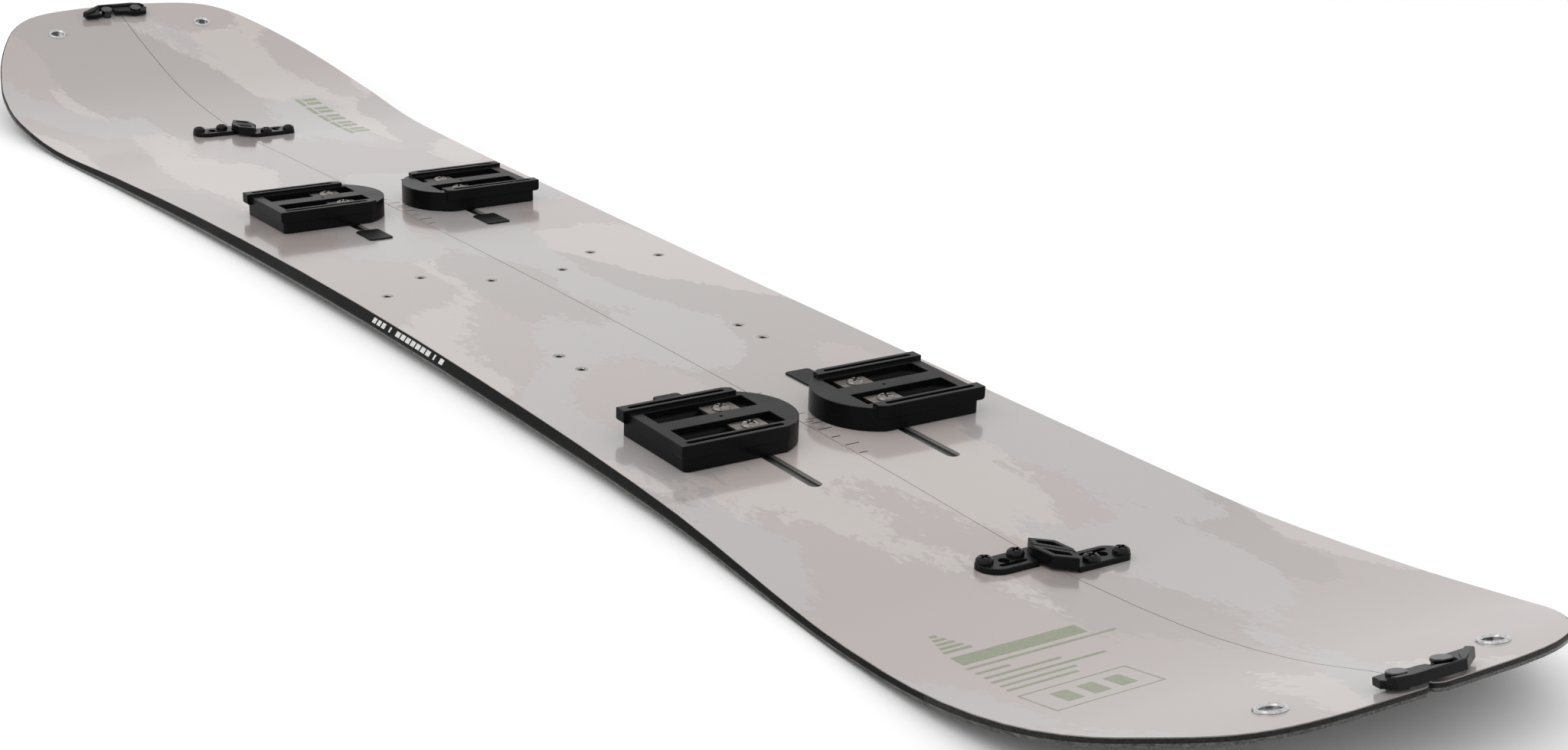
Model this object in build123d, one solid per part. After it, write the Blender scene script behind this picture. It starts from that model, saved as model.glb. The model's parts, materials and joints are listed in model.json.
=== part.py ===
from build123d import *
import math
import os

# Splitboard: a snowboard sawn lengthwise into two touring halves, with its riding hardware.
# Frame: origin at the middle of the length, on the seam, at the height of the ground.
# +X runs to the nose, +Y to the left half, +Z up. Lengths are in millimetres.

# ---------------------------------------------------------------- driving dimensions
LENGTH = 1590.0            # tip to tail
SEAM_GAP = 0.5             # saw line between the two halves
CONTACT_X = 520.0          # where the cambered base meets the ground, fore and aft
THICK_MID = 8.4
THICK_CONTACT = 5.2
THICK_TIP = 4.4

BASE_T = 1.8               # base sheet, and the steel edge beside it
EDGE_W = 2.0               # width of the steel edge
TOP_T = 0.6                # topsheet
WALL_W = 6.0               # sidewall strip along the outer edge
SEAM_WALL_W = 3.0          # sidewall strip along the seam
BEVEL_START = 3.0          # height on the sidewall where its bevel begins
BEVEL_X = 560.0            # the bevel fades out here
TIP_CORNER_R = 7.0         # rounded corner of each half where the seam reaches a tip

TRACK_Y = 45.6             # puck tracks either side of the seam
TRACK_LEN = 158.0
TRACK_W = 18.0
TRACK_H = 3.4
TRACK_LIP = 0.9            # the lips the track nuts pull up against
TRACK_CAVITY = (13.4, 1.9)
TRACK_SINK = 0.5           # track top below the underside of the topsheet
SLOT_W = 8.4               # opening in the topsheet
LIP_SLOT_W = 6.8           # opening between the track's lips
HATCH = (22.0, 14.0)       # opening at the inner end, where the track nuts go in
COVER = (26.5, 17.5, 0.8)
REAR_TRACK_X = -332.0
FRONT_TRACK_X = 206.0

PUCK_REAR_X = -328.5
PUCK_FRONT_X = 206.6
PUCK_LIFT = 0.35           # running gap over the deck
PUCK_HALF_W = 33.8
PUCK_R = 36.6              # rounded end, centred on PUCK_ARC_Y
PUCK_ARC_Y = 1.8
PUCK_OUTER_Y = 52.7        # square end, outward of the track
PUCK_H = 14.0
RAIL_H = 15.9
RAIL_Z = 8.2
RAIL_INNER = 26.8
RAIL_OUT = 1.2             # rail overhang past the puck's wall
EAR = 2.8                  # rail overhang past the square end
WINDOW = (17.4, 64.0)
WINDOW_X = 14.6
WINDOW_Y = 13.6
FLOOR_Z = 9.7
SCREW_DX = 15.0            # half the spacing of a puck's two screws
PLATE = (15.6, 20.5, 2.2)

HOOK_TAIL_X = -546.3
HOOK_NOSE_X = 497.4
HOOK_Y = -2.4              # middle of a hook pair, just off the seam
HOOK_T = 3.2
HOOK_LIFT = 0.18           # pad height that clears the curve of the deck
HOOK_SCREWS = ((12.0, 14.4), (12.0, 33.7))
ARM_Z = (1.6, 8.2)
ARM_WALL = 2.7

CLIP_TAIL_X = -785.2
CLIP_NOSE_X = 775.5
CLIP_HALF = 13.25          # pivot and stud either side of the seam
CLIP_Z = (2.0, 5.6)
CLIP_RIB_Z = 7.0
MOUTH_R = 7.0
PIN_DEPTH = 2.35           # rivet and stud shanks, down to the base sheet

INSERTS = ((0.0, 101.4), (28.5, 64.0), (0.0, 26.6), (-160.8, 64.0), (-188.5, 64.0))
GROMMETS = ((-766.6, 66.4), (750.8, 66.4))
GROMMET_R = 7.7
GROMMET_HOLE_R = 5.0
GROMMET_WALL = 1.0         # wall of the eyelet's barrel

# Height of the deck above its own lowest point, along the board.
PROFILE = (
    (-795, 37.5), (-760, 29.0), (-725, 18.8), (-690, 11.2), (-650, 5.4), (-600, 1.6), (-540, 0.0),
    (-400, 4.8), (-200, 7.7), (0, 8.3), (200, 6.6), (400, 2.5), (505, 0.75), (600, 8.4), (650, 17.2),
    (690, 27.4), (725, 37.2), (760, 47.8), (795, 58.6))

# Outer outline of one half, from the seam at the nose round to the seam at the tail.
OUTLINE = (
    (795, 0), (793.5, 34), (789.5, 63), (782, 83), (766, 100.5), (740, 116.3), (710, 129.8),
    (680, 139.8), (650, 147.4), (600, 153.1), (530, 152.0), (400, 142.4), (250, 134.5), (0, 128.2),
    (-250, 128.8), (-400, 132.2), (-530, 140.6), (-600, 145.4), (-650, 146.4), (-700, 142.0),
    (-740, 130.5), (-765, 116.5), (-781, 100.5), (-789.5, 82), (-793.6, 58), (-794.65, 30), (-795, 0))

HALF_SPAN = 170.0          # reach of the working solids to either side of the seam
CORE_X = (-640.0, 600.0)   # ends of the wood core and its sidewalls; plastic fills the tips out to the edge


# ---------------------------------------------------------------- shape of the board
def slope_at(points, k):
    """Slope at point k, taken from its neighbours."""
    a, b = points[max(k - 1, 0)], points[min(k + 1, len(points) - 1)]
    return (b[1] - a[1]) / (b[0] - a[0])


def smooth(points, x):
    """Height at x of the cubics through the points."""
    i = max(k for k in range(len(points) - 1) if k == 0 or points[k][0] <= x)
    (x0, y0), (x1, y1) = points[i], points[i + 1]
    h = x1 - x0
    t = (x - x0) / h
    return ((2 * t**3 - 3 * t**2 + 1) * y0 + (t**3 - 2 * t**2 + t) * h * slope_at(points, i)
            + (3 * t**2 - 2 * t**3) * y1 + (t**3 - t**2) * h * slope_at(points, i + 1))


def cubics(points, lift):
    """The same cubics as curves, raised by lift."""
    pieces = []
    for i in range(len(points) - 1):
        (x0, y0), (x1, y1) = points[i], points[i + 1]
        h = (x1 - x0) / 3
        pieces.append(Bezier((x0, y0 + lift), (x0 + h, y0 + lift + h * slope_at(points, i)),
                             (x1 - h, y1 + lift - h * slope_at(points, i + 1)), (x1, y1 + lift)))
    return pieces


def thickness(x):
    """Thick in the middle, thin at the contact points, thinner still at the tips."""
    if abs(x) < CONTACT_X:
        return THICK_MID - (THICK_MID - THICK_CONTACT) * (x / CONTACT_X) ** 2
    past = (abs(x) - CONTACT_X) / (LENGTH / 2 - CONTACT_X)
    return THICK_CONTACT - (THICK_CONTACT - THICK_TIP) * past


DECK = [(x, z + THICK_CONTACT) for x, z in PROFILE]
BASE = [(x, z - thickness(x)) for x, z in DECK]


def deck_z(x):
    return smooth(DECK, x)


def base_z(x):
    return smooth(BASE, x)


def deck_slope(x):
    return (deck_z(x + 0.5) - deck_z(x - 0.5)) / 1.0


def upright(x, y):
    """Frame at the deck's height, square to the row's axes."""
    return Location((x, y, deck_z(x)))


def on_deck(x, y):
    """Frame standing on the deck, with its x axis along the deck and z square to it."""
    return Location((x, y, deck_z(x)), (0, -math.degrees(math.atan(deck_slope(x))), 0))


def band(low, low_lift, high, high_lift):
    """Solid slab across the whole board between two lifted profiles."""
    with BuildSketch(Plane.XZ.offset(HALF_SPAN)) as side:
        with BuildLine():
            lower = cubics(low, low_lift)
            upper = cubics(high, high_lift)
            Line(lower[0] @ 0, upper[0] @ 0)
            Line(lower[-1] @ 1, upper[-1] @ 1)
        make_face()
    return extrude(side.sketch, amount=-2 * HALF_SPAN)


def inset_points(inset):
    """The outline's points moved inward, square to the outline, by inset(x)."""
    moved = []
    for k, (x, y) in enumerate(OUTLINE):
        ax, ay = OUTLINE[max(k - 1, 0)]
        bx, by = OUTLINE[min(k + 1, len(OUTLINE) - 1)]
        if k == 0:
            ax, ay = bx, -by
        if k == len(OUTLINE) - 1:
            bx, by = ax, -ay
        run = math.hypot(bx - ax, by - ay)
        nx, ny = (by - ay) / run, -(bx - ax) / run
        moved.append((x - nx * inset(x), y - ny * inset(x)))
    return moved


def rounded(points):
    """Smooth run of curves through the points, square to the seam at both ends."""
    last = len(points) - 1

    def heading(k):
        if k in (0, last):
            return Vector(0, 1 if k == 0 else -1)
        return (Vector(*points[k + 1]) - Vector(*points[k - 1])).normalized()

    pieces = []
    for k in range(last):
        a, b = Vector(*points[k]), Vector(*points[k + 1])
        reach = (b - a).length / 3
        pieces.append(Bezier(a, a + heading(k) * reach, b - heading(k + 1) * reach, b))
    return pieces


def plan(inset, seam_inset=0.0, corner=TIP_CORNER_R):
    """Plan of the left half as a tall prism."""
    y0 = SEAM_GAP / 2 + seam_inset
    with BuildSketch() as outline:
        with BuildLine():
            edge = rounded(inset_points(inset))
            Line(edge[-1] @ 1, edge[0] @ 0)
        make_face()
        with Locations((0, y0 / 2 - 5)):
            Rectangle(LENGTH + 20, 10 + y0, mode=Mode.SUBTRACT)
        ends = [v for v in outline.vertices() if abs(v.Y - y0) < 0.01]
        fillet(ends, corner)
    return extrude(outline.sketch, amount=150).moved(Location((0, 0, -10)))


def top_inset(x):
    """The topsheet stands back from the edge, most of all at the waist."""
    return 0.8 + 3.2 * max(0.0, 1 - (x / BEVEL_X) ** 2)


def bevel_cutter():
    """Everything outside the bevelled face of the outer sidewall, between the contact points."""
    xs = [-BEVEL_X + k * BEVEL_X / 8 for k in range(17)]
    outer = [(x, y) for x, y in reversed(OUTLINE) if abs(x) <= 700]
    low = Spline([(x, smooth(outer, x), base_z(x) + BEVEL_START) for x in xs])
    high = Spline([(x, smooth(outer, x) - top_inset(x), deck_z(x)) for x in xs])
    return Solid.extrude(Face.make_surface_from_curves(low, high), Vector(0, 25, 0))


def cut_all(body, cutters):
    for cutter in cutters:
        body = body - cutter
    return body


# ---------------------------------------------------------------- pieces set into a half
def track_frame(cx):
    return on_deck(cx, TRACK_Y)


def track_block(cx):
    z_top = -TOP_T - TRACK_SINK
    block = Box(TRACK_LEN + 4, TRACK_W, TRACK_H)
    return block.moved(track_frame(cx) * Location((0, 0, z_top - TRACK_H / 2)))


def slot_cutter(cx, hatch_side, width=SLOT_W):
    """The track's slot with round ends, and the wider hatch at its inner end."""
    slot = extrude(SlotOverall(TRACK_LEN, width), amount=5.1).moved(Location((0, 0, -2.1)))
    hatch_x = hatch_side * (TRACK_LEN / 2 - COVER[0] / 2)
    hatch = Box(HATCH[0], HATCH[1], 5.1).moved(Location((hatch_x, 0, 0.45)))
    return (slot + hatch).moved(track_frame(cx))


def track(cx, hatch_side):
    """C-channel: a wide cavity for the nuts under two lips, and a ridge left along its floor."""
    width, height = TRACK_CAVITY
    z_lip = -TOP_T - TRACK_SINK - TRACK_LIP
    cavity = Box(TRACK_LEN, width, height).moved(Location((0, 0, z_lip - height / 2)))
    for y in (-2.1, 2.1):
        cavity += Box(TRACK_LEN - 6, 3.0, 0.6).moved(Location((0, y, z_lip - height)))
    return track_block(cx) - cavity.moved(track_frame(cx)) - slot_cutter(cx, hatch_side, LIP_SLOT_W)


def track_cover(cx, hatch_side):
    """Flat cap over the hatch, with a plug that fills it."""
    cap = extrude(RectangleRounded(COVER[0], COVER[1], 2.5), amount=COVER[2])
    cap = chamfer(cap.faces().sort_by(Axis.Z)[-1].edges(), 0.3)
    plug = Box(HATCH[0] - 0.4, HATCH[1] - 0.4, 0.8).moved(Location((0, 0, -0.4)))
    at_x = hatch_side * (TRACK_LEN / 2 - COVER[0] / 2)
    return (cap + plug).moved(track_frame(cx) * Location((at_x, 0, 0)))


def insert(x, y, z_from=-3.6, outer_r=4.0, hole_r=2.1):
    """Threaded insert, flush with the deck."""
    body = Cylinder(outer_r, -z_from).moved(Location((0, 0, z_from / 2)))
    bore = Cylinder(hole_r, -z_from - 0.6).moved(Location((0, 0, (z_from + 0.6) / 2)))
    lead = Cone(hole_r, hole_r + 0.5, 0.5).moved(Location((0, 0, -0.25)))
    return (body - bore - lead).moved(upright(x, y))


def insert_cutter(x, y, z_from=-3.6, outer_r=4.0):
    return Cylinder(outer_r, -z_from + 2).moved(upright(x, y) * Location((0, 0, z_from / 2 + 1)))


def grommet(x, y):
    """Eyelet: a rolled flange on the deck and a barrel through the board."""
    depth = thickness(x) - 0.15
    hole, barrel = GROMMET_HOLE_R, GROMMET_HOLE_R + GROMMET_WALL
    with BuildSketch(Plane.XZ) as section:
        with BuildLine():
            Polyline((hole, -depth), (hole, 0.2), (hole + 0.7, 1.0))
            ThreePointArc((hole + 0.7, 1.0), (hole + 1.5, 1.3), (GROMMET_R - 0.2, 0.5))
            Polyline((GROMMET_R - 0.2, 0.5), (GROMMET_R, 0.1), (barrel, 0.1), (barrel, -depth),
                     (hole, -depth))
        make_face()
    return revolve(section.sketch, Axis.Z).moved(on_deck(x, y))


def grommet_cutter(x, y):
    return Cylinder(GROMMET_HOLE_R + GROMMET_WALL, 24).moved(on_deck(x, y))


# ---------------------------------------------------------------- fasteners
def cross_recess(depth, span):
    """Cross-shaped driver recess, as a cutter with its mouth at z = 0."""
    arm = Box(span, span * 0.25, depth) + Box(span * 0.25, span, depth)
    middle = Cone(span * 0.12, span * 0.26, depth)
    return (arm + middle).moved(Location((0, 0, -depth / 2)))


def domed_screw(head_d, head_h, rim_h, crown_r, shank_d, shank_len):
    """Head with an upright rim, a rounded shoulder and a flat crown, on a plain shank seated at z = 0."""
    r = head_d / 2
    shoulder = (r * 0.55 + crown_r * 0.45, rim_h + (head_h - rim_h) * 0.72)
    with BuildSketch(Plane.XZ) as section:
        with BuildLine():
            Polyline((0, 0), (r, 0), (r, rim_h))
            ThreePointArc((r, rim_h), shoulder, (crown_r, head_h))
            Polyline((crown_r, head_h), (0, head_h), (0, 0))
        make_face()
    head = revolve(section.sketch, Axis.Z)
    shank = Cylinder(shank_d / 2, shank_len).moved(Location((0, 0, -shank_len / 2)))
    recess = cross_recess(head_h * 0.7, head_d * 0.62).moved(Location((0, 0, head_h + 0.05)))
    return head + shank - recess


# ---------------------------------------------------------------- binding pucks
def puck_plan(grow=0.0, outer_y=PUCK_OUTER_Y):
    """D shape: square end outward, round end towards the seam."""
    half = PUCK_HALF_W + grow
    r = PUCK_R + grow
    y_arc = PUCK_ARC_Y - math.sqrt(r**2 - half**2)
    with BuildSketch() as shape:
        with BuildLine():
            Line((half, y_arc), (half, outer_y))
            Line((half, outer_y), (-half, outer_y))
            Line((-half, outer_y), (-half, y_arc))
            ThreePointArc((-half, y_arc), (0, PUCK_ARC_Y - r), (half, y_arc))
        make_face()
    return shape.sketch


def puck_rails():
    """Raised rails along both straight sides, each with a groove in its top."""
    y_end = PUCK_OUTER_Y + EAR
    body = extrude(puck_plan(RAIL_OUT, y_end), amount=RAIL_H - RAIL_Z).moved(Location((0, 0, RAIL_Z)))
    body -= Box(2 * RAIL_INNER, 200, 40)
    body -= Box(200, 60, 40).moved(Location((0, -30 - 17.5, 0)))
    outer_corners = body.edges().filter_by(Axis.X).group_by(Axis.Y)[-1].group_by(Axis.Z)[0]
    body = fillet(outer_corners, 2.0)
    for side in (-1, 1):
        groove = extrude(SlotOverall(62, 3.2, rotation=90), amount=4)
        body -= groove.moved(Location((side * 30.7, 19.5, RAIL_H - 3.0)))
    return body


def puck():
    """Puck in its own frame: origin on the deck midway between its two screws."""
    body = extrude(puck_plan(), amount=PUCK_H - PUCK_LIFT).moved(Location((0, 0, PUCK_LIFT)))
    body = fillet(body.edges().filter_by(Axis.Z).group_by(Axis.Y)[-1], 3.5)
    body = body + puck_rails()
    for side in (-1, 1):
        x = side * WINDOW_X
        pocket = Box(WINDOW[0], WINDOW[1], 12).moved(Location((x, WINDOW_Y, FLOOR_Z + 6)))
        slot = extrude(SlotOverall(58, 9.4, rotation=90), amount=20).moved(Location((x, WINDOW_Y, -2)))
        ramp = extrude(SlotOverall(60, 11.6, rotation=90), amount=3, taper=-30)
        body = body - pocket - slot
        body -= ramp.moved(Location((x, WINDOW_Y, FLOOR_Z - 2.4)))
    body -= Cylinder(1.1, 2).moved(Location((0, 9.4, PUCK_H)))
    return body


def clamp_plates():
    one = Box(*PLATE).moved(Location((0, 0, FLOOR_Z + PLATE[2] / 2)))
    one = chamfer(one.faces().sort_by(Axis.Z)[-1].edges(), 0.25)
    one -= Cylinder(3.05, 10).moved(Location((0, 0, FLOOR_Z)))
    return [one.moved(Location((side * SCREW_DX, 0, 0))) for side in (-1, 1)]


def puck_screws():
    seat = FLOOR_Z + PLATE[2]
    one = domed_screw(10.4, 2.2, 0.5, 2.2, 6.0, seat + 2.6)
    turns = ((-1, 25), (1, 50))
    return [one.moved(Location((side * SCREW_DX, 0, seat), (0, 0, turn))) for side, turn in turns]


def track_nuts():
    """T-nuts: a flange in the track's cavity and a neck in its slot."""
    z_lip = -TOP_T - TRACK_SINK - TRACK_LIP
    flange = Box(13.0, 12.4, 1.2).moved(Location((0, 0, z_lip - 0.95)))
    neck = Box(10.0, 6.2, 1.6).moved(Location((0, 0, z_lip - 0.4 + 0.8)))
    one = flange + neck - Cylinder(3.0, 20)
    return [one.moved(Location((side * SCREW_DX, 0, 0))) for side in (-1, 1)]


# ---------------------------------------------------------------- hooks across the seam
# Plan of the right plate's arm, about the middle of the pair. The left plate's is the same, turned 180.
ARM = ((-8.5, -6.0), (8.5, 6.0), (8.5, 7.2), (5.5, 8.4), (-7.75, 7.25), (-17.5, -2.5), (-12.8, -4.8))


def arm_face(shrink=0.0):
    face = make_face(Polyline(*ARM, close=True))
    return offset(face, amount=-shrink, kind=Kind.INTERSECTION) if shrink else face


def hook_arm():
    """Raised link with a long pocket in its top, clear of the deck below it."""
    low, high = ARM_Z
    body = extrude(arm_face(0.15), amount=high - low).moved(Location((0, 0, low)))
    body = chamfer(body.faces().sort_by(Axis.Z)[-1].edges(), 0.4)
    return body - extrude(arm_face(0.15 + ARM_WALL), amount=5).moved(Location((0, 0, high - 4.2)))


def hook_plate():
    """Left plate of a pair: foot with two screw holes, groove and lightening hole, and its arm."""
    x0, x1 = HOOK_SCREWS[0][0] - 12.1, HOOK_SCREWS[0][0] + 4.7
    y0, y1 = 1.2 - HOOK_Y, HOOK_SCREWS[1][1] + 5.0
    with BuildSketch() as foot:
        with Locations(((x0 + x1) / 2, (y0 + y1) / 2)):
            Rectangle(x1 - x0, y1 - y0)
        far = foot.vertices().group_by(Axis.Y)[-1].sort_by(Axis.X)
        fillet(far[0], 11.0)
        fillet(foot.vertices().group_by(Axis.Y)[-1].sort_by(Axis.X)[-1], 4.7)
    body = extrude(foot.sketch, amount=HOOK_T)
    body = chamfer(body.faces().sort_by(Axis.Z)[-1].edges(), 0.4)
    root = Polyline((9.9, 3.9), (16.7, 3.0), (16.7, 8.5), (13.4, 9.5), (9.9, 9.5), close=True)
    body += extrude(make_face(root), amount=HOOK_T - ARM_Z[0]).moved(Location((0, 0, ARM_Z[0])))
    body += hook_arm().moved(Location((0, 0, 0), (0, 0, 180)))
    sweep = extrude(offset(arm_face(), amount=0.45, kind=Kind.INTERSECTION), amount=30)
    body -= sweep.moved(Location((0, 0, -1)))
    groove = extrude(SlotOverall(17, 3.0, rotation=90), amount=3)
    body -= groove.moved(Location((4.4, 21.5, HOOK_T - 2.0)))
    body -= Cylinder(3.0, 20).moved(Location((8.9, 24.0, 0)))
    for x, y in HOOK_SCREWS:
        body -= Cylinder(2.6, 20).moved(Location((x, y, 0)))
    return body


def hook_frames():
    lift = Location((0, 0, HOOK_LIFT))
    return [on_deck(x, HOOK_Y) * lift for x in (HOOK_TAIL_X, HOOK_NOSE_X)]


def hook_screw_frames(side):
    """Screw places of one half's hook plates, side +1 left and -1 right."""
    turn = Location((0, 0, 0), (0, 0, 0 if side > 0 else 180))
    return [frame * turn * Location((x, y, 0)) for frame in hook_frames() for x, y in HOOK_SCREWS]


# ---------------------------------------------------------------- tip clips
def clip_lever():
    """Lever in the clip's frame: pivot at +Y, stud at -Y, mouth open towards the board's middle (+X)."""
    low, high = CLIP_Z
    outline = Polyline(
        (-7.5, 20.3), (-1.0, 24.0), (5.8, 21.4), (5.8, 9.0), (3.2, 2.4), (3.2, -2.0), (2.2, -6.0),
        (0, -6.4), (0, -20.1), (4.0, -20.4), (6.3, -19.6), (6.5, -33.4), (1.0, -35.0), (-4.4, -26.4),
        (-9.6, -18.6), (-9.6, 12.0), close=True)
    rib_line = Polyline(
        (-7.5, 20.3), (-3.6, 22.4), (-5.6, 9.0), (-5.6, -4.0), (-8.2, -10.5), (-7.4, -18.0), (0.6, -24.6),
        (5.0, -33.0), (1.0, -35.0), (-4.4, -26.4), (-9.6, -18.6), (-9.6, 12.0), close=True)
    body = extrude(make_face(outline), amount=high - low).moved(Location((0, 0, low)))
    rib = extrude(make_face(rib_line), amount=CLIP_RIB_Z - low).moved(Location((0, 0, low)))
    rib = chamfer(rib.faces().sort_by(Axis.Z)[-1].edges(), 0.6)
    body = chamfer(body.faces().sort_by(Axis.Z)[-1].edges(), 0.4)
    body = body + rib
    body -= Cylinder(MOUTH_R, 30).moved(Location((0, -CLIP_HALF, 0)))
    return body - Cylinder(3.05, 30).moved(Location((0, CLIP_HALF, 0)))


def rivet():
    """Pivot rivet: washer on the deck, shank and flat head."""
    with BuildSketch(Plane.XZ) as section:
        with BuildLine():
            Polyline((0, -PIN_DEPTH), (3.0, -PIN_DEPTH), (3.0, 0.1), (4.9, 0.1), (4.9, CLIP_Z[0] - 0.3),
                     (3.0, CLIP_Z[0] - 0.3), (3.0, 5.9), (4.7, 5.9), (4.7, 6.9), (4.3, 7.3), (0, 7.3),
                     (0, -PIN_DEPTH))
        make_face()
    return revolve(section.sketch, Axis.Z)


def stud():
    """Stud that the lever's mouth closes on: post, collar and flat head."""
    with BuildSketch(Plane.XZ) as section:
        with BuildLine():
            Polyline((0, -PIN_DEPTH), (3.0, -PIN_DEPTH), (3.0, 0.1), (4.4, 0.1), (4.4, 5.5), (3.4, 5.9),
                     (4.8, 5.9), (4.8, 6.9), (4.4, 7.3), (0, 7.3), (0, -PIN_DEPTH))
        make_face()
    return revolve(section.sketch, Axis.Z)


def clip_frame(end):
    """Clip frame at the tail (end -1) or, turned half round, at the nose (end +1)."""
    if end < 0:
        return on_deck(CLIP_TAIL_X, 0)
    return on_deck(CLIP_NOSE_X, 0) * Location((0, 0, 0), (0, 0, 180))


def pin_cutter(frame, y):
    return Cylinder(3.0, 5).moved(frame * Location((0, y, 2.5 - PIN_DEPTH)))


# ---------------------------------------------------------------- assembly
TRACKS = (("rear", REAR_TRACK_X, 1), ("front", FRONT_TRACK_X, -1))
PUCKS = (("rear", PUCK_REAR_X), ("front", PUCK_FRONT_X))
HALVES = (("left", 1), ("right", -1))


def flip(shape):
    return mirror(shape, Plane.XZ)


def placed_on(side, shape):
    """A left-half shape, mirrored across the seam for the right half."""
    return shape if side > 0 else flip(shape)


def deck_cutters(side):
    """Holes that the set-in pieces need in a half's topsheet and core."""
    cut = [placed_on(side, slot_cutter(cx, hatch)) for _, cx, hatch in TRACKS]
    cut += [placed_on(side, insert_cutter(x, y)) for x, y in INSERTS]
    cut += [placed_on(side, grommet_cutter(x, y)) for x, y in GROMMETS]
    cut += [Cylinder(4.0, 6).moved(f * Location((0, 0, 0.1))) for f in hook_screw_frames(side)]
    cut += [pin_cutter(clip_frame(-1), side * CLIP_HALF), pin_cutter(clip_frame(1), -side * CLIP_HALF)]
    return cut


def zone(x0, x1):
    """Block over one stretch of the board's length."""
    return Box(x1 - x0, 2 * HALF_SPAN, 200).moved(Location(((x0 + x1) / 2, 0, 50)))


def half_layers(name, side):
    outer = placed_on(side, plan(lambda x: 0.0))
    inner_edge = placed_on(side, plan(lambda x: EDGE_W, EDGE_W, TIP_CORNER_R - EDGE_W))
    core_plan = placed_on(side, plan(lambda x: WALL_W, SEAM_WALL_W, 3.0))
    top_plan = placed_on(side, plan(top_inset))
    lower = band(BASE, 0, BASE, BASE_T)
    middle = band(BASE, BASE_T, DECK, -TOP_T)
    upper = band(DECK, -TOP_T, DECK, 0)
    holes = deck_cutters(side)
    barrels = [placed_on(side, grommet_cutter(x, y)) for x, y in GROMMETS]
    joint = Box(14, 0.6, 12).moved(Location((-788, 102, deck_z(-785) - 3), (0, 0, -28)))
    blocks = [placed_on(side, track_block(cx)) for _, cx, _ in TRACKS]

    layer = outer & middle
    filling = cut_all(layer & core_plan, holes + blocks)
    tips = cut_all(layer, holes)
    wall = layer - core_plan - placed_on(side, bevel_cutter())
    sheet = cut_all(inner_edge & lower, barrels)
    tail, waist, nose = zone(-800, CORE_X[0]), zone(*CORE_X), zone(CORE_X[1], 800)
    return {
        "steel_edge_" + name: ((outer - inner_edge) & lower) - placed_on(side, joint),
        "base_tail_" + name: sheet & tail,
        "base_" + name: sheet & waist,
        "base_nose_" + name: sheet & nose,
        "tip_fill_tail_" + name: tips & tail,
        "core_" + name: filling & waist,
        "sidewall_" + name: wall & waist,
        "tip_fill_nose_" + name: tips & nose,
        "topsheet_" + name: cut_all(top_plan & upper, holes),
    }


def half_fittings(name, side):
    pieces = {}
    for where, cx, hatch in TRACKS:
        pieces[f"track_{where}_{name}"] = placed_on(side, track(cx, hatch))
        pieces[f"track_cover_{where}_{name}"] = placed_on(side, track_cover(cx, hatch))
    hook_turn = Location((0, 0, 0), (0, 0, 0 if side > 0 else 180))
    for where, frame in zip(("tail", "nose"), hook_frames()):
        pieces[f"hook_{where}_{name}"] = hook_plate().moved(frame * hook_turn)
    screw = domed_screw(9.2, 3.1, 1.2, 2.6, 5.0, HOOK_T + 2.6)
    frames = hook_screw_frames(side)
    pieces["hook_screws_" + name] = [screw.moved(f * Location((0, 0, HOOK_T), (0, 0, 20))) for f in frames]
    sleeve = Cylinder(4.0, 2.9) - Cylinder(2.5, 10)
    pieces["hook_inserts_" + name] = [sleeve.moved(f * Location((0, 0, -1.45))) for f in frames]
    pieces["inserts_" + name] = [placed_on(side, insert(x, y)) for x, y in INSERTS]
    pieces["grommets_" + name] = [placed_on(side, grommet(x, y)) for x, y in GROMMETS]
    return pieces


def puck_sets():
    pieces = {}
    for where, px in PUCKS:
        for name, side in HALVES:
            frame = on_deck(px, TRACK_Y)
            key = f"_{where}_{name}"
            pieces["puck" + key] = placed_on(side, puck().moved(frame))
            for node, solids in (("puck_plates", clamp_plates()), ("puck_screws", puck_screws()),
                                 ("track_nuts", track_nuts())):
                pieces[node + key] = [placed_on(side, s.moved(frame)) for s in solids]
    return pieces


def clips():
    pieces = {}
    for where, end in (("tail", -1), ("nose", 1)):
        frame = clip_frame(end)
        pieces[f"{where}_clip_lever"] = clip_lever().moved(frame)
        pieces[f"{where}_clip_rivet"] = rivet().moved(frame * Location((0, CLIP_HALF, 0)))
        pieces[f"{where}_clip_stud"] = stud().moved(frame * Location((0, -CLIP_HALF, 0)))
    return pieces


def write(name, shape):
    solids = shape if isinstance(shape, list) else [shape]
    flat = [s for item in solids for s in item.solids()]
    export_step(flat[0] if len(flat) == 1 else Compound(children=flat), f"parts/{name}.step")


def main():
    os.makedirs("parts", exist_ok=True)
    pieces = {}
    for name, side in HALVES:
        pieces.update(half_layers(name, side))
        pieces.update(half_fittings(name, side))
    pieces.update(puck_sets())
    pieces.update(clips())
    for name, shape in pieces.items():
        write(name, shape)


main()
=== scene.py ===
import json
import math

import bmesh
import bpy
from mathutils import Euler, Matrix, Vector


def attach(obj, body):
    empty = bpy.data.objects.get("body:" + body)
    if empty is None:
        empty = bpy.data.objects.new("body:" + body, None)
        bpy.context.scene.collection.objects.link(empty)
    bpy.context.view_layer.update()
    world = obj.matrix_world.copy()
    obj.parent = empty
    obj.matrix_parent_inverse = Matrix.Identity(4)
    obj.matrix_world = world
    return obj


# Looks for the splitboard: materials, printed marks, floor, light and camera. Metres, +X nose, +Z up.

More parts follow.
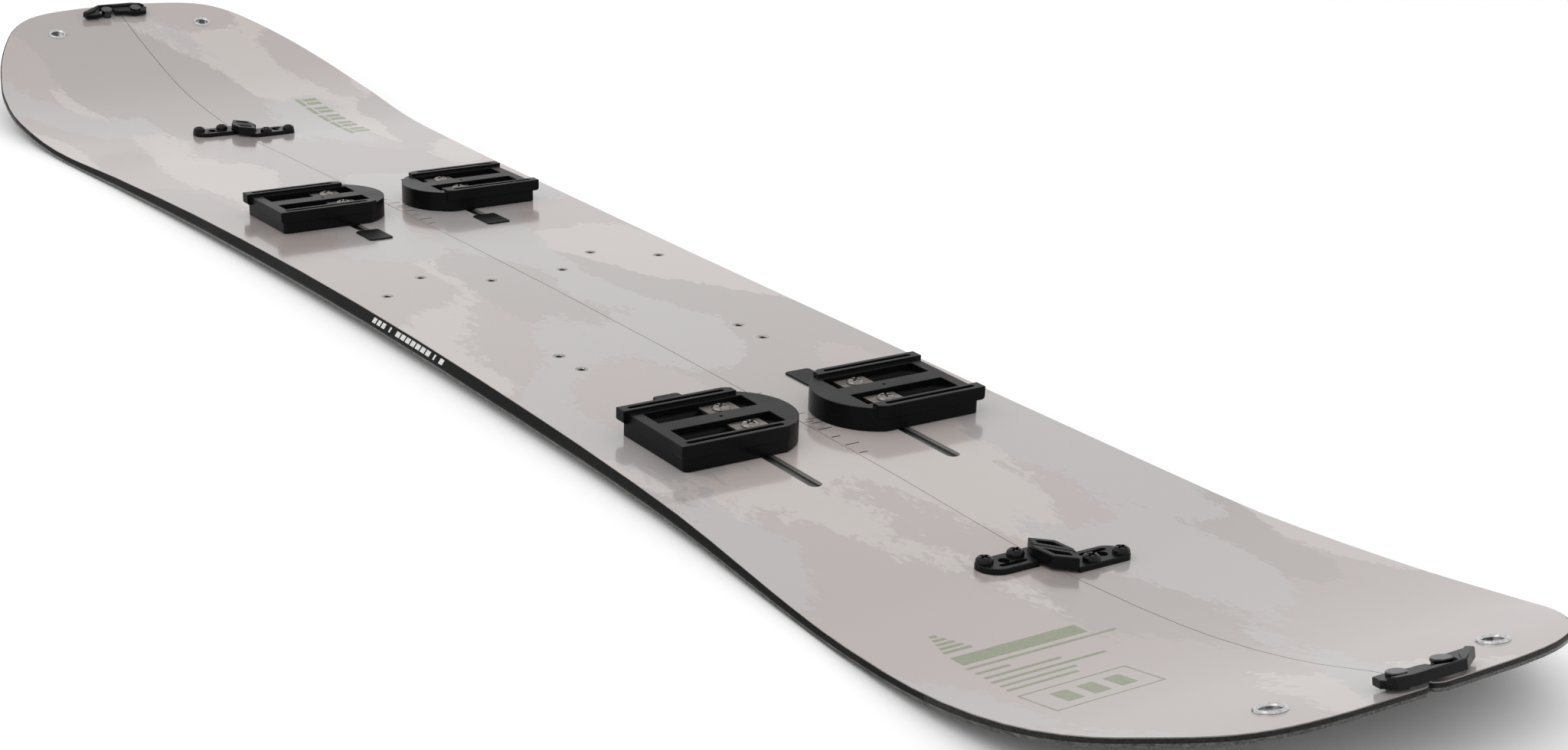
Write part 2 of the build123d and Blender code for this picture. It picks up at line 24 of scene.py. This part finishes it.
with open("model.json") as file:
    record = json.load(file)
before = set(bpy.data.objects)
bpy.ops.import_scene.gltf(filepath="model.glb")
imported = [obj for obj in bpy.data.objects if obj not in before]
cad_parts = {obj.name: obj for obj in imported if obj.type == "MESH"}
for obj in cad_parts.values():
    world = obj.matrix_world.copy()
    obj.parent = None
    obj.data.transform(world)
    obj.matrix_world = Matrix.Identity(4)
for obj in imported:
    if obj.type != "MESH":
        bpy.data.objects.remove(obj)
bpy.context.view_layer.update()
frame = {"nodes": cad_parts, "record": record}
NODES = frame["nodes"]
MM = 0.001
TRACK_Y = 45.6 * MM             # the puck tracks run this far either side of the seam
SLOT_SHADE_HALF_WIDTH = 9.5 * MM    # the core is painted near-black this far either side of a track's middle, as painted shade inside the track slots
SMOOTH_LIMIT = math.radians(28)
WELD_DISTANCE = 0.002 * MM
RAY_START = 200 * MM            # rays start this far out, clear of the deck and of the left sidewall
DECK_SAMPLE_Y = 100 * MM        # the height of the sidewall's top is read on the deck here
INK_FOOT = 0.01 * MM            # a printed mark starts just above its surface
INK_TOP = 0.05 * MM
FLOOR_Z = -0.8 * MM

DECK_LIGHT = (0.455, 0.410, 0.392)
DECK_MID = (0.378, 0.330, 0.315)
DECK_DARK = (0.338, 0.306, 0.294)
DECK_COOL = (0.388, 0.366, 0.360)

# Layout of the printed marks, in mm.
STANCE_MIDDLES = (-328.0, 205.0)
TICK_PITCH = 13.3
TICKS_EACH_SIDE = 4
LONG_TICK, SHORT_TICK = 10.5, 7.0
TICK_HALF_WIDTH = 0.45
NOSE_REPEATS = 5
NOSE_START, NOSE_PITCH = 458.0, 24.4
FRAME_LINE = 0.8
FRAME_GAP = 0.05                # the four bars of the frame stop this far apart, so that no corners touch


# ---------------------------------------------------------------- node helpers
class Graph:
    """Shorthand for building one material's node tree."""

    def __init__(self, name):
        self.material = bpy.data.materials.new(name)
        self.material.use_nodes = True
        self.tree = self.material.node_tree
        self.shader = self.tree.nodes["Principled BSDF"]
        self.coords = self.tree.nodes.new("ShaderNodeTexCoord").outputs["Object"]

    def add(self, kind, **values):
        node = self.tree.nodes.new(kind)
        for key, value in values.items():
            if key in node.inputs:
                node.inputs[key].default_value = value
            else:
                setattr(node, key, value)
        return node

    def link(self, source, target):
        self.tree.links.new(source, target)

    def mapped(self, scale=(1, 1, 1), turn=(0, 0, 0)):
        node = self.add("ShaderNodeMapping", Scale=scale, Rotation=turn)
        self.link(self.coords, node.inputs["Vector"])
        return node.outputs["Vector"]

    def noise(self, scale, detail=3.0, vector=None, distortion=0.0, roughness=0.5):
        node = self.add("ShaderNodeTexNoise", Scale=scale, Detail=detail, Distortion=distortion,
                        Roughness=roughness)
        self.link(vector or self.coords, node.inputs["Vector"])
        return node.outputs["Fac"]

    def ramp(self, source, stops):
        """Grey or colour ramp through (position, colour) stops."""
        node = self.add("ShaderNodeValToRGB")
        ramp = node.color_ramp
        while len(ramp.elements) < len(stops):
            ramp.elements.new(1.0)
        for element, (position, colour) in zip(ramp.elements, stops):
            element.position = position
            grey = isinstance(colour, (int, float))
            element.color = (colour, colour, colour, 1) if grey else (*colour, 1)
        self.link(source, node.inputs["Fac"])
        return node.outputs["Color"]

    def math(self, operation, a, b):
        node = self.add("ShaderNodeMath", operation=operation)
        for socket, value in zip(node.inputs, (a, b)):
            if isinstance(value, (int, float)):
                socket.default_value = value
            else:
                self.link(value, socket)
        return node.outputs[0]

    def mix(self, factor, a, b):
        node = self.add("ShaderNodeMix", data_type="RGBA")
        for index, value in ((0, factor), (6, a), (7, b)):
            if isinstance(value, tuple):
                node.inputs[index].default_value = (*value, 1)
            else:
                self.link(value, node.inputs[index])
        return node.outputs[2]

    def bump(self, height, strength, distance, edge=0.0):
        """Bump from a height, on edges rounded by the radius edge."""
        node = self.add("ShaderNodeBump", Strength=strength, Distance=distance)
        self.link(height, node.inputs["Height"])
        if edge:
            bevel = self.add("ShaderNodeBevel", samples=6, Radius=edge)
            self.link(bevel.outputs["Normal"], node.inputs["Normal"])
        self.link(node.outputs["Normal"], self.shader.inputs["Normal"])

    def set(self, **values):
        for key, value in values.items():
            socket = self.shader.inputs[key.replace("_", " ")]
            if isinstance(value, tuple):
                socket.default_value = (*value, 1)
            elif isinstance(value, (int, float)):
                socket.default_value = value
            else:
                self.link(value, socket)


def speckled(name, dark, light, rough, metallic=0.0, grain=900.0, bump=0.15, stretch=(1, 1, 1), wear=8.0,
             sheen=0.5, edge=0.0):
    """Surface with fine grain in its colour and bump, and slow wear in its roughness."""
    g = Graph(name)
    fine = g.noise(grain, 4.0, g.mapped(stretch))
    slow = g.noise(wear, 5.0)
    g.set(Base_Color=g.ramp(fine, ((0.3, dark), (0.7, light))), Metallic=metallic, Specular_IOR_Level=sheen,
          Roughness=g.ramp(slow, ((0.3, rough[0]), (0.7, rough[1]))))
    g.bump(fine, bump, 0.0002, edge)
    return g.material


# ---------------------------------------------------------------- materials
def camo_mask(g, turn, shift, edge):
    """Broad slanting patch whose edge breaks up into brushed specks. Edge is its threshold."""
    spot = g.add("ShaderNodeMapping", Scale=(1.0, 1.9, 0.0), Rotation=(0, 0, turn), Location=shift)
    g.link(g.coords, spot.inputs["Vector"])
    broad = g.noise(4.2, 0.6, spot.outputs["Vector"], 0.6)
    streak = g.noise(70.0, 5.0, g.mapped((0.45, 1.3, 0.0), (0, 0, turn + 0.9)), 0.6, 0.72)
    specks = g.noise(230.0, 3.0, g.mapped((0.7, 1.0, 0.0), (0, 0, turn)), 0.2, 0.6)
    rough = g.math("ADD", g.math("MULTIPLY", g.math("SUBTRACT", streak, 0.5), 0.13),
                   g.math("MULTIPLY", g.math("SUBTRACT", specks, 0.5), 0.07))
    return g.ramp(g.math("ADD", broad, rough), ((edge, 0.0), (edge + 0.012, 1.0)))


def topsheet_material():
    g = Graph("topsheet")
    colour = g.mix(camo_mask(g, 0.7, (0.3, 0.1, 0), 0.50), DECK_MID, DECK_LIGHT)
    colour = g.mix(camo_mask(g, -0.5, (1.7, 0.6, 0), 0.56), colour, DECK_DARK)
    colour = g.mix(camo_mask(g, 1.3, (2.9, 0.2, 0), 0.60), colour, DECK_COOL)
    g.set(Base_Color=colour, Roughness=g.ramp(g.noise(14.0, 6.0), ((0.3, 0.14), (0.7, 0.22))),
          Specular_IOR_Level=0.35, Coat_Weight=0.4, Coat_Roughness=0.07)
    g.bump(g.noise(420.0, 2.0), 0.04, 0.0002)
    return g.material


def wood_material():
    g = Graph("core_wood")
    strips = g.add("ShaderNodeTexWave", Scale=9.0, Distortion=0.6, bands_direction="Y")
    g.link(g.coords, strips.inputs["Vector"])
    grain = g.noise(60.0, 6.0, g.mapped((0.05, 1, 1)))
    tone = g.math("ADD", g.math("MULTIPLY", strips.outputs["Fac"], 0.4), g.math("MULTIPLY", grain, 0.6))
    wood = g.ramp(tone, ((0.2, (0.50, 0.33, 0.17)), (0.8, (0.76, 0.58, 0.36))))
    axes = g.add("ShaderNodeSeparateXYZ")
    g.link(g.coords, axes.inputs[0])
    # Painted shade: the wood is coloured near-black in a band along each track, where the inside of the
    # slot lies in shade.
    beside = g.math("SUBTRACT", g.math("ABSOLUTE", axes.outputs["Y"], 0), TRACK_Y)
    slot_shade = g.math("LESS_THAN", g.math("ABSOLUTE", beside, 0), SLOT_SHADE_HALF_WIDTH)
    g.set(Base_Color=g.mix(slot_shade, wood, (0.02, 0.02, 0.02)), Roughness=0.6)
    g.bump(grain, 0.3, 0.0003)
    return g.material


def brushed(name, dark, light, stretch, rough=(0.22, 0.38)):
    return speckled(name, dark, light, rough, metallic=1.0, grain=700.0, bump=0.12, stretch=stretch)


def black_plastic(name, rough=(0.26, 0.38)):
    return speckled(name, (0.0022, 0.0022, 0.0026), (0.0055, 0.0055, 0.006), rough, grain=1600.0, bump=0.14,
                    wear=25.0, sheen=0.085, edge=0.0008)


def make_materials():
    return {
        "topsheet": topsheet_material(),
        "core": wood_material(),
        "tip_fills": speckled("tip_fills", (0.004, 0.004, 0.004), (0.024, 0.0235, 0.0225), (0.42, 0.58),
                              bump=0.3, sheen=0.12),
        "sidewall": speckled("sidewall", (0.002, 0.002, 0.002), (0.011, 0.0105, 0.010), (0.42, 0.58),
                             grain=1100.0, bump=0.3, wear=12.0, sheen=0.06),
        "base": speckled("base", (0.010, 0.010, 0.011), (0.018, 0.018, 0.019), (0.25, 0.4), grain=600.0,
                         bump=0.2, stretch=(0.02, 1, 1)),
        "steel_edge": brushed("steel_edge", (0.045, 0.044, 0.042), (0.13, 0.128, 0.122), (0.25, 1, 1)),
        "tracks": speckled("tracks", (0.20, 0.20, 0.195), (0.38, 0.375, 0.365), (0.4, 0.55), metallic=0.35,
                           grain=700.0, bump=0.12, stretch=(0.05, 1, 1)),
        "track_covers": black_plastic("track_covers", (0.3, 0.42)),
        "pucks": black_plastic("pucks"),
        "puck_plates": brushed("puck_plates", (0.12, 0.105, 0.095), (0.22, 0.20, 0.185), (1, 0.06, 1),
                               (0.3, 0.45)),
        "puck_screws": brushed("puck_screws", (0.13, 0.12, 0.11), (0.29, 0.27, 0.25), (1, 1, 1),
                               (0.2, 0.32)),
        "track_nuts": brushed("track_nuts", (0.3, 0.3, 0.3), (0.5, 0.5, 0.5), (1, 0.1, 1)),
        "hooks": speckled("hooks", (0.003, 0.003, 0.0035), (0.008, 0.008, 0.0085), (0.22, 0.34),
                          grain=1400.0, bump=0.14, wear=30.0, sheen=0.12, edge=0.0005),
        "hook_screws": speckled("hook_screws", (0.003, 0.003, 0.0035), (0.008, 0.008, 0.0085), (0.14, 0.26),
                                grain=1200.0, bump=0.1, wear=40.0, sheen=0.18),
        "inserts": brushed("inserts", (0.14, 0.13, 0.12), (0.42, 0.40, 0.38), (1, 1, 1), (0.12, 0.25)),
        "grommets": brushed("grommets", (0.40, 0.40, 0.405), (0.62, 0.62, 0.625), (1, 1, 1), (0.1, 0.2)),
        "levers": speckled("levers", (0.003, 0.003, 0.0035), (0.008, 0.008, 0.0085), (0.24, 0.36),
                           grain=1400.0, bump=0.14, wear=30.0, sheen=0.12, edge=0.0005),
        "pins": brushed("pins", (0.035, 0.035, 0.037), (0.10, 0.10, 0.105), (1, 1, 1), (0.2, 0.34)),
    }


def dress_nodes(materials):
    slot_of = {s["node"]: s["material_slot"] for s in frame["record"]["subparts"]}
    for name, node in NODES.items():
        node.data.materials.clear()
        node.data.materials.append(materials[slot_of[name]])
        weld = node.modifiers.new("weld", "WELD")
        weld.merge_threshold = WELD_DISTANCE
        smooth = node.modifiers.new("smooth", "NODES")
        smooth.node_group = smooth_by_angle()


def smooth_by_angle():
    """Geometry nodes group that shades smooth except across edges sharper than SMOOTH_LIMIT."""
    name = "smooth_by_angle"
    if name in bpy.data.node_groups:
        return bpy.data.node_groups[name]
    group = bpy.data.node_groups.new(name, "GeometryNodeTree")
    group.interface.new_socket("Geometry", in_out="INPUT", socket_type="NodeSocketGeometry")
    group.interface.new_socket("Geometry", in_out="OUTPUT", socket_type="NodeSocketGeometry")
    nodes, links = group.nodes, group.links
    source, target = nodes.new("NodeGroupInput"), nodes.new("NodeGroupOutput")
    angle = nodes.new("GeometryNodeInputMeshEdgeAngle")
    limit = nodes.new("FunctionNodeCompare")
    limit.operation = "LESS_EQUAL"
    limit.inputs[1].default_value = SMOOTH_LIMIT
    edges = nodes.new("GeometryNodeSetShadeSmooth")
    edges.domain = "EDGE"
    faces = nodes.new("GeometryNodeSetShadeSmooth")
    faces.domain = "FACE"
    links.new(angle.outputs["Unsigned Angle"], limit.inputs[0])
    links.new(source.outputs[0], faces.inputs["Geometry"])
    links.new(faces.outputs[0], edges.inputs["Geometry"])
    links.new(limit.outputs[0], edges.inputs["Shade Smooth"])
    links.new(edges.outputs[0], target.inputs[0])
    return group


# ---------------------------------------------------------------- printed marks
def on_topsheet(x, y):
    """Point on the deck and the way out of it, in metres."""
    node = NODES["topsheet_left" if y > 0 else "topsheet_right"]
    for dx, dy in ((0, 0), (0.7, 0), (-0.7, 0), (0, 0.7), (0, -0.7)):
        hit, place, _, _ = node.ray_cast(Vector((x + dx * MM, y + dy * MM, RAY_START)), Vector((0, 0, -1)))
        if hit:
            return Vector((x, y, place.z)), Vector((0, 0, 1))
    raise ValueError("no topsheet below this point")


def on_sidewall(x, drop):
    """Point on the left sidewall's outer face, drop below the deck, and the way out of it."""
    deck, _ = on_topsheet(x, DECK_SAMPLE_Y)
    start = Vector((x, RAY_START, deck.z - drop))
    _, place, normal, _ = NODES["sidewall_left"].ray_cast(start, Vector((0, -1, 0)))
    return place, normal


def add_patch(mesh, surface, x0, x1, v0, v1, step=6 * MM):
    """Thin printed rectangle that follows a surface."""
    nx = max(1, math.ceil((x1 - x0) / step))
    tops, feet = [], []
    for i in range(nx + 1):
        for v in (v0, v1):
            place, out = surface(x0 + (x1 - x0) * i / nx, v)
            feet.append(mesh.verts.new(place + out * INK_FOOT))
            tops.append(mesh.verts.new(place + out * INK_TOP))
    for i in range(nx):
        a, b, c, d = 2 * i, 2 * i + 1, 2 * i + 3, 2 * i + 2
        mesh.faces.new((tops[a], tops[d], tops[c], tops[b]))
        mesh.faces.new((feet[a], feet[b], feet[c], feet[d]))
        mesh.faces.new((tops[a], feet[a], feet[d], tops[d]))
        mesh.faces.new((tops[b], tops[c], feet[c], feet[b]))
    mesh.faces.new((tops[0], tops[1], feet[1], feet[0]))
    n = 2 * nx
    mesh.faces.new((tops[n], feet[n], feet[n + 1], tops[n + 1]))


def print_marks(name, rectangles, body, material, surface=on_topsheet):
    """One piece holding all the printed rectangles (mm) of one colour on one half."""
    mesh = bmesh.new()
    for rectangle in rectangles:
        add_patch(mesh, surface, *(edge * MM for edge in rectangle))
    data = bpy.data.meshes.new(name)
    mesh.to_mesh(data)
    mesh.free()
    piece = bpy.data.objects.new(name, data)
    bpy.context.scene.collection.objects.link(piece)
    data.materials.append(material)
    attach(piece, body)


def stance_marks():
    """Short and long ticks in turn beside the seam, and two close ticks in the middle of each run."""
    marks = []
    for middle in STANCE_MIDDLES:
        for k in range(-TICKS_EACH_SIDE, TICKS_EACH_SIDE + 1):
            x = middle + TICK_PITCH * k
            reach = LONG_TICK if k % 2 else SHORT_TICK
            marks.append((x - TICK_HALF_WIDTH, x + TICK_HALF_WIDTH, -reach, -1.4))
        for side in (-3.4, 3.4):
            marks.append((middle + side - 0.4, middle + side + 0.4, -12.0, -4.0))
    return marks


def tail_graphic():
    """Generic panel: an outlined box holding three blocks, a bold band, thin rules and a wedge of bars."""
    x0, x1, y0, y1, line = -694.0, -667.0, 56.0, 117.0, FRAME_LINE
    inner0, inner1 = y0 + line + FRAME_GAP, y1 - line - FRAME_GAP
    marks = [(x0, x1, y0, y0 + line), (x0, x1, y1 - line, y1)]
    marks += [(x0, x0 + line, inner0, inner1), (x1 - line, x1, inner0, inner1)]
    marks += [(-687.0, -674.0, y, y + 9.0) for y in (66.0, 81.0, 96.0)]
    marks += [(-623.0, -613.0, 40.0, 112.0)]
    for x, low, high in ((-628.5, 27, 114), (-635.5, 95, 114), (-642, 71, 114), (-648, 50, 115),
                         (-654, 72, 115), (-660, 76, 116)):
        marks.append((x, x + 2.0, low, high))
    marks += [(-608.0 + 4.6 * k, -605.6 + 4.6 * k, 95.0 + 1.5 * k, 111.0 - 1.5 * k) for k in range(5)]
    return marks


def nose_graphic():
    """Generic strip at the nose of the right half: a broken base bar, and two blocks beside each length."""
    marks = []
    for k in range(NOSE_REPEATS):
        x = NOSE_START + NOSE_PITCH * k
        marks += [(x, x + 20.5, -84.0, -80.0)]
        marks += [(x + start, x + start + 6.5, -98.5, -86.0) for start in (2.5, 12.5)]
    return marks


def sidewall_graphic():
    """Generic row of blocks on the left sidewall, in mm below the deck."""
    spans = [(-131.0, -126.0), (-120.0, -118.0), (-58.0, -56.0)]
    spans += [(-113.0 + 7.0 * k, -107.6 + 7.0 * k) for k in range(7)]
    spans += [(-50.0 + 6.4 * k, -45.4 + 6.4 * k) for k in range(3)]
    return [(x0, x1, 1.6, 4.4) for x0, x1 in spans]


def ink(name, dark, light):
    return speckled(name, dark, light, (0.2, 0.3), grain=500.0, bump=0.02)


def print_deck():
    green = ink("ink_green", (0.185, 0.21, 0.13), (0.235, 0.26, 0.17))
    black = ink("ink_black", (0.012, 0.012, 0.012), (0.03, 0.03, 0.03))
    white = ink("ink_white", (0.5, 0.5, 0.5), (0.66, 0.66, 0.65))
    print_marks("stance_marks", stance_marks(), "right_ski", black)
    print_marks("tail_graphic", tail_graphic(), "left_ski", green)
    print_marks("nose_graphic", nose_graphic(), "right_ski", green)
    print_marks("sidewall_graphic", sidewall_graphic(), "left_ski", white, on_sidewall)


# ---------------------------------------------------------------- stage
def add_area(name, place, aim, size, power):
    light = bpy.data.lights.new(name, "AREA")
    light.shape = "RECTANGLE"
    light.size, light.size_y = size
    light.energy = power
    item = bpy.data.objects.new(name, light)
    item.location = place
    item.rotation_euler = (Vector(aim) - Vector(place)).to_track_quat("-Z", "Y").to_euler()
    bpy.context.scene.collection.objects.link(item)


def set_stage():
    bpy.ops.mesh.primitive_plane_add(size=30, location=(0, 0, FLOOR_Z))
    floor = bpy.context.object
    floor.name = "floor"
    g = Graph("floor")
    g.set(Base_Color=g.ramp(g.noise(3.0, 3.0), ((0.3, (0.95, 0.95, 0.95)), (0.7, (0.97, 0.97, 0.97)))),
          Roughness=0.85)
    floor.data.materials.append(g.material)
    world = bpy.data.worlds.new("studio")
    world.use_nodes = True
    world.node_tree.nodes["Background"].inputs["Color"].default_value = (1.0, 1.0, 1.0, 1)
    world.node_tree.nodes["Background"].inputs["Strength"].default_value = 1.0
    bpy.context.scene.world = world
    add_area("key", place=(0.2, 2.0, 2.8), aim=(0, 0, 0), size=(3.2, 2.0), power=16)
    bpy.context.scene.view_settings.view_transform = "Standard"


def set_camera():
    data = bpy.data.cameras.new("camera")
    data.sensor_width = 36.0
    data.lens = 57.59
    camera = bpy.data.objects.new("camera", data)
    camera.location = (-1.42186, 0.75189, 0.48628)
    camera.rotation_euler = Euler([math.radians(a) for a in (71.389, -1.396, -123.548)], "XYZ")
    bpy.context.scene.collection.objects.link(camera)
    bpy.context.scene.camera = camera


dress_nodes(make_materials())
print_deck()
set_stage()
set_camera()
